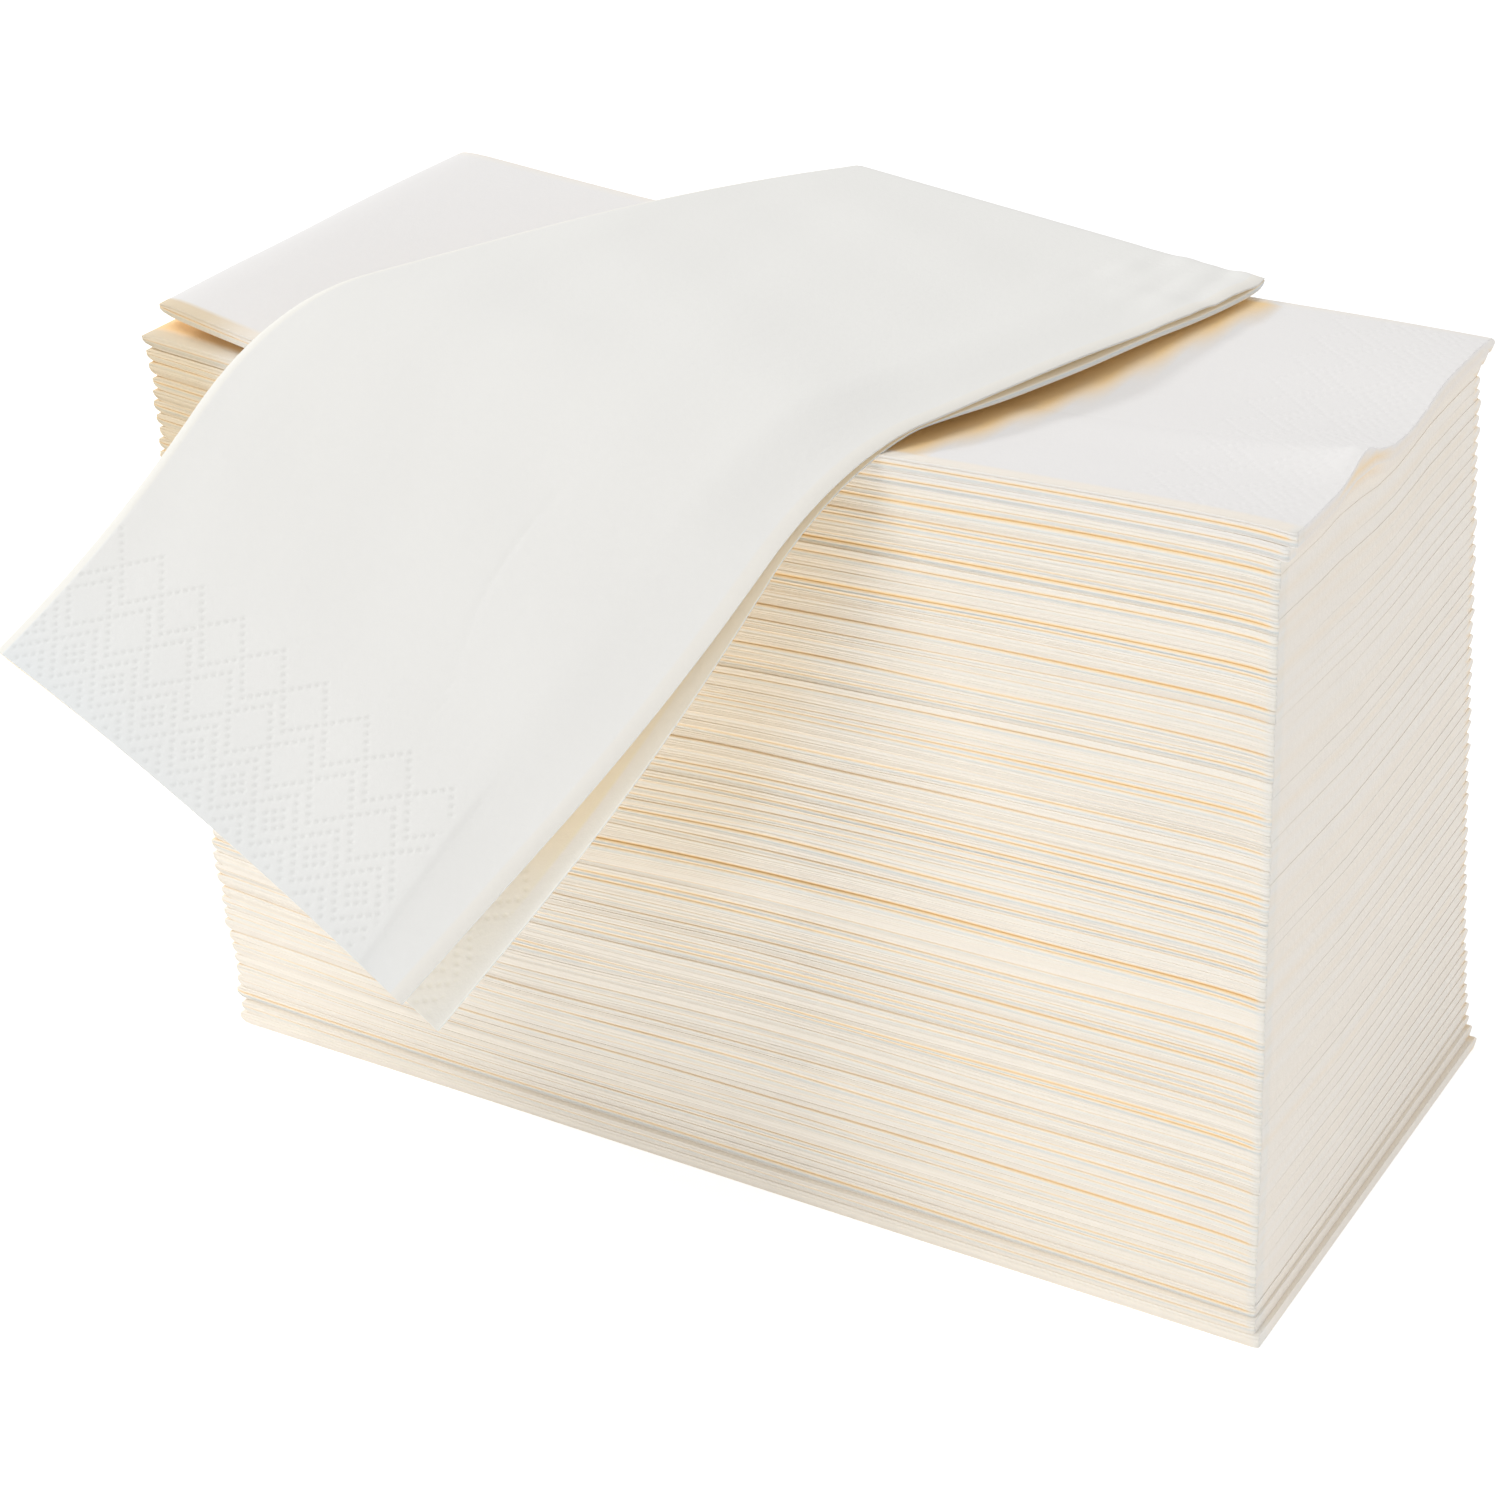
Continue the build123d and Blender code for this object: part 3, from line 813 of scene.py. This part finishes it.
def drape_relief(across, along):
    """Small height of creases and soft wrinkles over the top of the draped napkin."""
    end = NAPKIN_LENGTH - along
    soft = field(across, along, SOFT_WAVES) * SOFT_HEIGHT
    soft *= smooth_step(along / SOFT_START_ALONG) * smooth_step(across / SOFT_START_LEFT)
    soft *= smooth_step((NAPKIN_WIDTH - across) / SOFT_START_RIGHT)
    step_line = SHEET_END - SHEET_END_SLANT * end
    step = SHEET_STEP * ramp(end, *SHEET_STEP_SPAN) / (1 + np.exp((across - step_line) / SHEET_STEP_REACH))
    crease_line = CREASE_ACROSS + CREASE_BEND * np.clip(along - CREASE_ALONG, *CREASE_BEND_SPAN) ** 2
    crease = -CREASE_DEPTH * bell(across, crease_line, CREASE_REACH)
    crease = crease * ramp(along, *CREASE_START) * ramp(along, *CREASE_STOP)
    crumpled = np.clip((across - CRUMPLE_ACROSS) / CRUMPLE_RUN, 0, 1) * ramp(along, *CRUMPLE_ALONG)
    crumple = field(across, along, CRUMPLE_WAVES) * CRUMPLE_HEIGHT * crumpled
    return soft + step + crease + crumple


def drape_sections():
    """Places of the sections down the draped napkin, closest at its border, and its swell at each."""
    steps = np.arange(FINE_STEPS, -int(FIRST_ROW / DOT_GRID) - 1, -1)
    fine = NAPKIN_LENGTH - FIRST_ROW - DOT_GRID * steps
    coarse = np.linspace(DRAPE_FIRST_SECTION, fine[0], DRAPE_COARSE_SECTIONS, endpoint=False)
    places = np.concatenate((DRAPE_TIP_PLACES, coarse, fine, (NAPKIN_LENGTH,)))
    return places, np.interp(places, DRAPE_TIP_PLACES, DRAPE_TIP_SWELLS)[:, None]


def drape_inner_places():
    """Places in from the open edge of the points inside the slit and over the top, close where dots are."""
    steps = np.arange(-int(FIRST_DIAMOND / DOT_GRID), int((NAPKIN_WIDTH - DRAPE_FINE_LAST) / DOT_GRID))
    fine = FIRST_DIAMOND + DOT_GRID * steps
    fine = fine[fine < NAPKIN_WIDTH - DRAPE_FINE_RIGHT]
    over = (NAPKIN_WIDTH - fine[fine > DRAPE_FINE_LEFT])[::-1]
    dotted = (NAPKIN_WIDTH - fine[fine > DRAPE_SLIT_DOTS])[::-1]
    plain = np.linspace(dotted[-1] + DRAPE_SLIT_STEP, NAPKIN_WIDTH - DRAPE_SLIT_END, DRAPE_SLIT_COUNT)
    return np.concatenate((dotted, plain)), over


def drape_outline(sections):
    """Points round the draped napkin, counted inwards from its open edge."""
    out = Outline(sections)
    in_slit, over = drape_inner_places()
    half_slit = 0.5 * DRAPE_SLIT / DRAPE_THICKNESS
    low_slit, high_slit = 0.5 - half_slit, 0.5 + half_slit
    still = np.zeros_like(sections)
    gaping = np.full_like(sections, DRAPE_OPEN_LINE)
    closed = np.full_like(sections, DRAPE_CLOSED_LINE)
    upper_slit = np.linspace(DRAPE_INNER_START, NAPKIN_WIDTH - DRAPE_SLIT_END, DRAPE_INNER_COUNT)
    base = np.linspace(DRAPE_INNER_START, NAPKIN_WIDTH - DRAPE_BASE_END, DRAPE_INNER_COUNT)
    leaf_edge(out, LOWER_EDGE, 0.0, low_slit, still, (closed, gaping), LOWER_LEAF, seed=31)
    out.row(LOWER_SLIT, in_slit, low_slit, DRAPE_GAP)
    out.row(ROOT, [NAPKIN_WIDTH - ROOT_DEPTH], 0.5, DRAPE_ROOT_GAP)
    out.row(UPPER_SLIT, upper_slit[::-1], high_slit, DRAPE_GAP)
    leaf_edge(out, UPPER_EDGE, high_slit, 1.0, still, (gaping, closed), DRAPE_UPPER_LEAF, seed=32)
    out.row(TOP, over, 1.0)
    fold_edge(out, NAPKIN_WIDTH, DRAPE_FOLD_REACH, False, False)
    out.row(BASE, base[::-1], 0.0, DRAPE_GAP)
    return out.arrays()


def drape_lift(zones, height, swell, across, along, dots):
    """Height of all points of the draped napkin over its middle, at right angles to it."""
    upper = height > 0.5
    at_edge = ramp(across, *EDGE_SPAN)
    upper_thin = 1 - UPPER_THIN * at_edge
    lower_thin = 1 - LOWER_THIN * at_edge * ramp(along, *LOWER_THIN_SPAN)
    lift = (height - 0.5) * DRAPE_THICKNESS * swell * np.where(upper, upper_thin, lower_thin)
    lift = lift + through(REST_DEPTHS, REST_PLACES, along) * at_edge
    lift = lift - TOP_END_SINK * np.exp(-along / TOP_END_SINK_RUN) * (1 - at_edge) * upper
    slit = 0.5 * through(SLIT_OPENINGS, SLIT_PLACES, along) * ramp(across, *NEAR_EDGE_SPAN)
    lift = lift + np.where(upper, slit, -slit) * SLIT_OPENING_SHARE
    lift = lift - DRAPE_GAPE * gape_share(along) * across / NAPKIN_WIDTH * (height < 0.5)
    relief_share = in_zones(zones, TOP) + in_zones(zones, UPPER_SLIT, UPPER_EDGE) * at_edge
    dot_share = dots * in_zones(zones, TOP, LOWER_SLIT)
    return lift + drape_relief(across, along) * relief_share - DOT_DEPTH * dot_share


def gape_share(along):
    """How far the two leaves of the draped napkin have opened, from 0 at the bend to 1 at the cut end."""
    return np.clip(along - DRAPE_GAPE_START, 0, None) / (NAPKIN_LENGTH - DRAPE_GAPE_START)


def drape_marks(zones, shape, across, along, dots):
    """Painted light and shade that the material reads at all points of the draped napkin: warm glow in the
    slit, warm shade under it, glow on the sides, shade in the pits, a bluish light at the tip, and glow by
    emission inside the lower leaf.
    """
    share = across / NAPKIN_WIDTH
    hanging = ramp(along, *HANGING_SPAN)
    seen_inside = hanging * ramp(across, *NEAR_EDGE_SPAN)
    near_tip = ramp(along, *NEAR_TIP_SPAN)
    closed = 1 - GAPE_TINT_LOSS * smooth_step(GAPE_TINT_GAIN * gape_share(along)) * share
    gap = shape["gap"] * np.where(in_zones(zones, LOWER_SLIT, UPPER_SLIT, ROOT), closed, 1.0)
    gap = gap * np.where(in_zones(zones, LOWER_EDGE), 1 - hanging, 1.0)
    gap = gap * np.where(in_zones(zones, BASE), ramp(along, *BASE_TINT_SPAN), 1.0)
    inner_tint = INNER_TINT * seen_inside * (1 - INNER_TINT_TIP_LOSS * near_tip)
    tip_cool = TIP_COOL * np.exp(-(NAPKIN_LENGTH - along) / TIP_COOL_RUN) * (1 - TIP_COOL_FALL * share)
    lit = seen_inside * (1 - LIT_TIP_LOSS * near_tip)
    return {
        "gap": gap + inner_tint * in_zones(zones, LOWER_SLIT),
        "edge": DRAPE_SIDE * ~in_zones(zones, TOP, UPPER_EDGE),
        "pit": dots * in_zones(zones, TOP, LOWER_SLIT),
        "lit": lit * in_zones(zones, LOWER_EDGE, LOWER_SLIT),
        "cool": np.where(in_zones(zones, TOP), tip_cool, shape["cool"]),
    }


def draped_napkin(material):
    """Folded napkin that lies on the stack and hangs over its front, its leaves gaping further down."""
    sections, swell = drape_sections()
    zones, shape = drape_outline(sections)
    across = NAPKIN_WIDTH - shape["place"]
    along = np.repeat(sections[:, None], len(zones), axis=1)
    hanging = ramp(along, *HANGING_SPAN)
    share = across / NAPKIN_WIDTH
    low_leaf = in_zones(zones, LOWER_EDGE, LOWER_SLIT, BASE) * share
    reach_out = across + hanging * (REACH_OUT_LEFT - REACH_OUT_FALL * share + REACH_OUT_LOW_LEAF * low_leaf)
    reach_out = reach_out - CORNER_CUT * np.exp(-along / CORNER_CUT_RUN) * ramp(across, *CORNER_CUT_SPAN)
    bow = REACH_DOWN_BOW * share**2 - REACH_DOWN_SLANT * share - REACH_DOWN_LEFT
    centre, normal = drape_place(reach_out, along + hanging * (bow - low_leaf))

    end = NAPKIN_LENGTH - along
    layer_end = np.where(in_zones(zones, TOP), SHEET_END - SHEET_END_SLANT * end, NAPKIN_WIDTH)
    dots = border_dots(across, end) * smooth_step((layer_end - DOTS_SHORT_OF_STEP - across) / DOTS_FADE)
    lift = drape_lift(zones, shape["height"], swell, across, along, dots)
    grid = centre + lift[..., None] * normal
    grid[..., 2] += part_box("draped_napkin")[1].z / MM - grid[..., 2].max()
    marks = drape_marks(zones, shape, across, along, dots)
    return mesh_object("draped_paper", grid, marks, zones, shape["place"][-1], material, ["draped_napkin"])


# Painted shadow of the draped napkin on the front of the stack, warm where light comes through it: a map in X
# and Z, in millimetres
LIGHT_PATH = np.array((-0.1, 1.0, -0.45))
CAST_STEP = 2.0
CAST_REACH = 4.0
CAST_LEFT, CAST_BASE = -150.0, -50.0
CAST_COLUMNS, CAST_ROWS = 150, 120
CAST_START = 100.0
CAST_SAMPLES = (160, 200)
CAST_KERNEL_STEPS = 9


def make_cast():
    """How much of the front of the stack lies in the draped napkin's shadow, painted warm for the light that
    comes through the napkin.
    """
    across_places = np.linspace(0, NAPKIN_WIDTH, CAST_SAMPLES[0])
    along_places = np.linspace(CAST_START, NAPKIN_LENGTH, CAST_SAMPLES[1])
    place, _ = drape_place(*np.meshgrid(across_places, along_places))
    place = place[place[..., 1] < STACK_FRONT]
    way = (STACK_FRONT - place[:, 1]) / LIGHT_PATH[1]
    hit = place + way[:, None] * LIGHT_PATH
    column = np.round((hit[:, 0] - CAST_LEFT) / CAST_STEP).astype(int)
    row = np.round((hit[:, 2] - CAST_BASE) / CAST_STEP).astype(int)
    inside = (column >= 0) & (column < CAST_COLUMNS) & (row >= 0) & (row < CAST_ROWS)
    cast = np.zeros((CAST_COLUMNS, CAST_ROWS))
    cast[column[inside], row[inside]] = 1
    steps = np.arange(-CAST_KERNEL_STEPS, CAST_KERNEL_STEPS + 1)
    kernel = np.exp(-((steps * CAST_STEP / CAST_REACH) ** 2) / 2)
    kernel /= kernel.sum()
    for axis in (0, 1):
        cast = np.apply_along_axis(np.convolve, axis, cast, kernel, "same")
    return cast


def drape_cast(x, z):
    """Value of the map of the painted warm shadow at places on the front."""
    column = np.clip((x - CAST_LEFT) / CAST_STEP, 0, CAST_COLUMNS - 2)
    row = np.clip((z - CAST_BASE) / CAST_STEP, 0, CAST_ROWS - 2)
    i, j = column.astype(int), row.astype(int)
    a, b = column - i, row - j
    low = CAST[i, j] * (1 - a) + CAST[i + 1, j] * a
    high = CAST[i, j + 1] * (1 - a) + CAST[i + 1, j + 1] * a
    return low * (1 - b) + high * b


def srgb(*values):
    """Linear colour from display values out of 255."""
    channels = [value / 255 for value in values]
    return tuple([((c + 0.055) / 1.055) ** 2.4 if c > 0.04045 else c / 12.92 for c in channels] + [1.0])


WHITE = (1.0, 1.0, 1.0, 1.0)
# Colour of the painted warm shadow of the draped napkin on the front
CAST_TINT = (0.86, 0.78, 0.64, 1.0)
PAPER_ROUGHNESS, PAPER_SPECULAR = 0.92, 0.15
GRAIN_HEIGHT, CLOUD_HEIGHT, BUMP_STRENGTH = 0.00004, 0.00012, 0.6
# Noises as their scale, detail and roughness
MOTTLE, SHEETS, GRAIN, CLOUD = (90.0, 4.0, 0.6), (1.0, 2.0, 0.5), (2600.0, 3.0, 0.65), (620.0, 3.0, 0.6)
# Strength of the random mottle, of the mottle on the sides, of the streaks, and of the painted shade in the
# embossed pits
MOTTLE_TONE, SIDE_MOTTLE_TONE, STREAK_TONE, PIT_TONE = 0.012, 0.03, 0.035, 0.05
# Strength of the emission that makes the inside of the draped napkin's lower leaf glow: painted light
LIT_STRENGTH = 0.24
SHEET_STRETCH = (14.0, 14.0, 2600.0)
FLOOR_COLOUR = (0.92, 0.92, 0.92, 1.0)
FLOOR_LIGHT, FLOOR_LIGHT_SEEN = 0.36, 0.12
FLOOR_REACH = 4.0


def node(tree, kind, inputs=None, **settings):
    """Shader node whose inputs are values or the outputs of other nodes."""
    made = tree.nodes.new(kind)
    for key, value in settings.items():
        setattr(made, key, value)
    for key, value in (inputs or {}).items():
        if hasattr(value, "links"):
            tree.links.new(value, made.inputs[key])
        else:
            made.inputs[key].default_value = value
    return made


def math_node(tree, operation, *values):
    return node(tree, "ShaderNodeMath", dict(enumerate(values)), operation=operation).outputs[0]


def mix(tree, share, first, second):
    """Blend of two colours, which are the mix node's inputs 6 and 7."""
    return node(tree, "ShaderNodeMix", {0: share, 6: first, 7: second}, data_type="RGBA").outputs[2]


def mark(tree, name):
    return node(tree, "ShaderNodeAttribute", attribute_name=name).outputs["Fac"]


def noise(tree, place, scale, detail, roughness):
    inputs = {"Vector": place, "Scale": scale, "Detail": detail, "Roughness": roughness}
    return node(tree, "ShaderNodeTexNoise", inputs).outputs["Fac"]


def new_material(name):
    """Material with only an output node."""
    material = bpy.data.materials.new(name)
    material.use_nodes = True
    tree = material.node_tree
    tree.nodes.clear()
    return material, tree, tree.nodes.new("ShaderNodeOutputMaterial")


def paper_tone(tree, place, edge):
    """Brightness of the paper: mottle, streaks between sheets on its sides, and painted shade in the embossed
    pits.
    """
    mottle = math_node(tree, "SUBTRACT", noise(tree, place, *MOTTLE), 0.5)
    spread = math_node(tree, "MULTIPLY_ADD", edge, SIDE_MOTTLE_TONE, MOTTLE_TONE)
    uneven = math_node(tree, "MULTIPLY_ADD", mottle, spread, 1.0)
    layers = node(tree, "ShaderNodeMapping", {"Vector": place, "Scale": SHEET_STRETCH}).outputs["Vector"]
    sheets = math_node(tree, "SUBTRACT", noise(tree, layers, *SHEETS), 0.5)
    streak = math_node(tree, "MULTIPLY", sheets, edge)
    tone = math_node(tree, "MULTIPLY_ADD", streak, STREAK_TONE, uneven)
    pit = math_node(tree, "MULTIPLY_ADD", mark(tree, "pit"), -PIT_TONE, 1.0)
    return math_node(tree, "MULTIPLY", tone, pit)


def paper_bump(tree, place):
    """Normal of the paper's fine fibres and soft embossing, in metres of height."""
    grain = math_node(tree, "MULTIPLY", noise(tree, place, *GRAIN), GRAIN_HEIGHT)
    height = math_node(tree, "MULTIPLY_ADD", noise(tree, place, *CLOUD), CLOUD_HEIGHT, grain)
    inputs = {"Height": height, "Distance": 1.0, "Strength": BUMP_STRENGTH}
    return node(tree, "ShaderNodeBump", inputs).outputs["Normal"]


def paper_material(name, face, side, pale, glow):
    """Soft tissue with painted light and shade: a warm glow in the gaps stands in for light that has passed
    through paper, with a warmer glow on the open sides, bluish shade under the lines, the draped napkin's
    warm shadow and emission where the lower leaf's inside glows.
    """
    material, tree, out = new_material(name)
    shader = tree.nodes.new("ShaderNodeBsdfPrincipled")
    tree.links.new(shader.outputs[0], out.inputs[0])
    shader.inputs["Roughness"].default_value = PAPER_ROUGHNESS
    shader.inputs["Specular IOR Level"].default_value = PAPER_SPECULAR

    place = node(tree, "ShaderNodeTexCoord").outputs["Object"]
    edge = mark(tree, "edge")
    # Painted glow on the open sides, warm glow in the gaps and bluish shade under the lines
    paper = mix(tree, edge, face, side)
    paper = mix(tree, mark(tree, "gap"), paper, glow)
    paper = mix(tree, mark(tree, "cool"), paper, pale)
    # Painted warm shadow of the draped napkin on the front, and painted shade at the left corner
    cast_shadow_tint = mix(tree, mark(tree, "cast"), WHITE, CAST_TINT)
    shadowed = node(tree, "ShaderNodeVectorMath", {0: paper, 1: cast_shadow_tint}, operation="MULTIPLY")
    toned = {0: shadowed.outputs["Vector"], "Scale": paper_tone(tree, place, edge)}
    colour = node(tree, "ShaderNodeVectorMath", toned, operation="SCALE").outputs["Vector"]
    # Emission by the lit mark: painted glow inside the draped napkin's lower leaf
    light = math_node(tree, "MULTIPLY", mark(tree, "lit"), LIT_STRENGTH)
    tree.links.new(colour, shader.inputs["Base Color"])
    tree.links.new(colour, shader.inputs["Emission Color"])
    tree.links.new(light, shader.inputs["Emission Strength"])
    tree.links.new(paper_bump(tree, place), shader.inputs["Normal"])
    return material


def floor_material():
    """White floor that keeps the object's shadow, with some light of its own."""
    material, tree, out = new_material("floor_white")
    matt = node(tree, "ShaderNodeBsdfDiffuse", {"Color": FLOOR_COLOUR})
    path = tree.nodes.new("ShaderNodeLightPath")
    strength = math_node(tree, "MULTIPLY_ADD", path.outputs["Is Camera Ray"], FLOOR_LIGHT_SEEN, FLOOR_LIGHT)
    light = node(tree, "ShaderNodeEmission", {"Color": WHITE, "Strength": strength})
    both = node(tree, "ShaderNodeAddShader", {0: matt.outputs[0], 1: light.outputs[0]})
    tree.links.new(both.outputs[0], out.inputs[0])
    return material


def make_floor():
    mesh = bpy.data.meshes.new("floor")
    turns = ((-1, -1), (1, -1), (1, 1), (-1, 1))
    mesh.from_pydata([(FLOOR_REACH * x, FLOOR_REACH * y, 0) for x, y in turns], [], [(0, 1, 2, 3)])
    mesh.materials.append(floor_material())
    floor = add_object("floor", mesh)


# Camera fitted to the photograph, in degrees, millimetres and pixels
CAMERA_AZIMUTH, CAMERA_ELEVATION, CAMERA_ROLL = 32.0008, 23.7677, -2.851
CAMERA_PLACE = (234.818, -397.404, 299.913)
PHOTO_SIDE = 1500
FOCAL_LENGTH_PIXELS = 2778.28
MIDDLE_ROW_PIXELS = 577
SENSOR_WIDTH = 36.0
CLIP_START = 0.01


def make_camera():
    """Camera at the photograph's place, from its azimuth, elevation and roll."""
    azimuth, elevation, roll = [radians(a) for a in (CAMERA_AZIMUTH, CAMERA_ELEVATION, CAMERA_ROLL)]
    level_right = Vector((cos(azimuth), sin(azimuth), 0))
    level_back = Vector((sin(azimuth), -cos(azimuth), 0))
    back = level_back * cos(elevation) + Vector((0, 0, sin(elevation)))
    level_up = back.cross(level_right)
    right = level_right * cos(roll) + level_up * sin(roll)
    up = level_up * cos(roll) - level_right * sin(roll)
    data = bpy.data.cameras.new("photo_camera")
    data.sensor_width = SENSOR_WIDTH
    data.lens = FOCAL_LENGTH_PIXELS / PHOTO_SIDE * SENSOR_WIDTH
    data.shift_y = (MIDDLE_ROW_PIXELS - PHOTO_SIDE / 2) / PHOTO_SIDE
    data.clip_start = CLIP_START
    camera = add_object("photo_camera", data)
    turned = Matrix((right, up, back)).transposed().to_4x4()
    camera.matrix_world = Matrix.Translation(Vector(CAMERA_PLACE) * MM) @ turned
    bpy.context.scene.camera = camera


def area_light(name, place, aim, size, power, colour):
    """Square lamp at a place, turned towards its aim, in metres and watts."""
    data = bpy.data.lights.new(name, "AREA")
    data.shape = "SQUARE"
    data.size = size
    data.energy = power
    data.color = colour
    light = add_object(name, data)
    light.location = place
    light.rotation_euler = (Vector(aim) - Vector(place)).to_track_quat("-Z", "Y").to_euler()


SKY_STRENGTH, SKY_STRENGTH_SEEN = 0.56, 1.0


def make_sky():
    """Even white sky, brighter where it is seen directly or mirrored."""
    world = bpy.data.worlds.new("studio")
    bpy.context.scene.world = world
    world.use_nodes = True
    tree = world.node_tree
    tree.nodes.clear()
    out = tree.nodes.new("ShaderNodeOutputWorld")
    path = tree.nodes.new("ShaderNodeLightPath")
    seen = math_node(tree, "MAXIMUM", path.outputs["Is Camera Ray"], path.outputs["Is Glossy Ray"])
    steps = {"Value": seen, "To Min": SKY_STRENGTH, "To Max": SKY_STRENGTH_SEEN}
    strength = node(tree, "ShaderNodeMapRange", steps).outputs["Result"]
    background = node(tree, "ShaderNodeBackground", {"Color": WHITE, "Strength": strength})
    tree.links.new(background.outputs[0], out.inputs[0])


def make_lights():
    warm, cool = (1.0, 0.993, 0.972), (0.965, 0.985, 1.0)
    area_light("overhead", place=(-0.35, -0.8, 1.8), aim=(0, 0, 0.08), size=0.9, power=11.5, colour=warm)
    area_light("left", place=(-1.5, 0.3, 1.05), aim=(0, 0, 0.14), size=0.25, power=7.5, colour=cool)
    make_sky()


CAST = make_cast()
# Paper colour of the face, and painted light: a warmer glow for the open sides, a bluish tint for shade under
# lines and at corners and tips, and a warm glow for the gaps
stack_paper = paper_material(
    "napkin_paper_stack",
    face=srgb(242, 240, 239),
    side=srgb(251, 244, 233),
    pale=srgb(233, 236, 235),
    glow=srgb(255, 222, 168),
)
drape_paper = paper_material(
    "napkin_paper_drape",
    face=srgb(242, 241, 238),
    side=srgb(250, 246, 234),
    pale=srgb(228, 238, 246),
    glow=srgb(255, 232, 186),
)
for number in range(NAPKIN_COUNT):
    StackNapkin(number).build(stack_paper)
draped_napkin(drape_paper)
make_floor()
make_camera()
make_lights()
bpy.context.scene.view_settings.view_transform = "Standard"
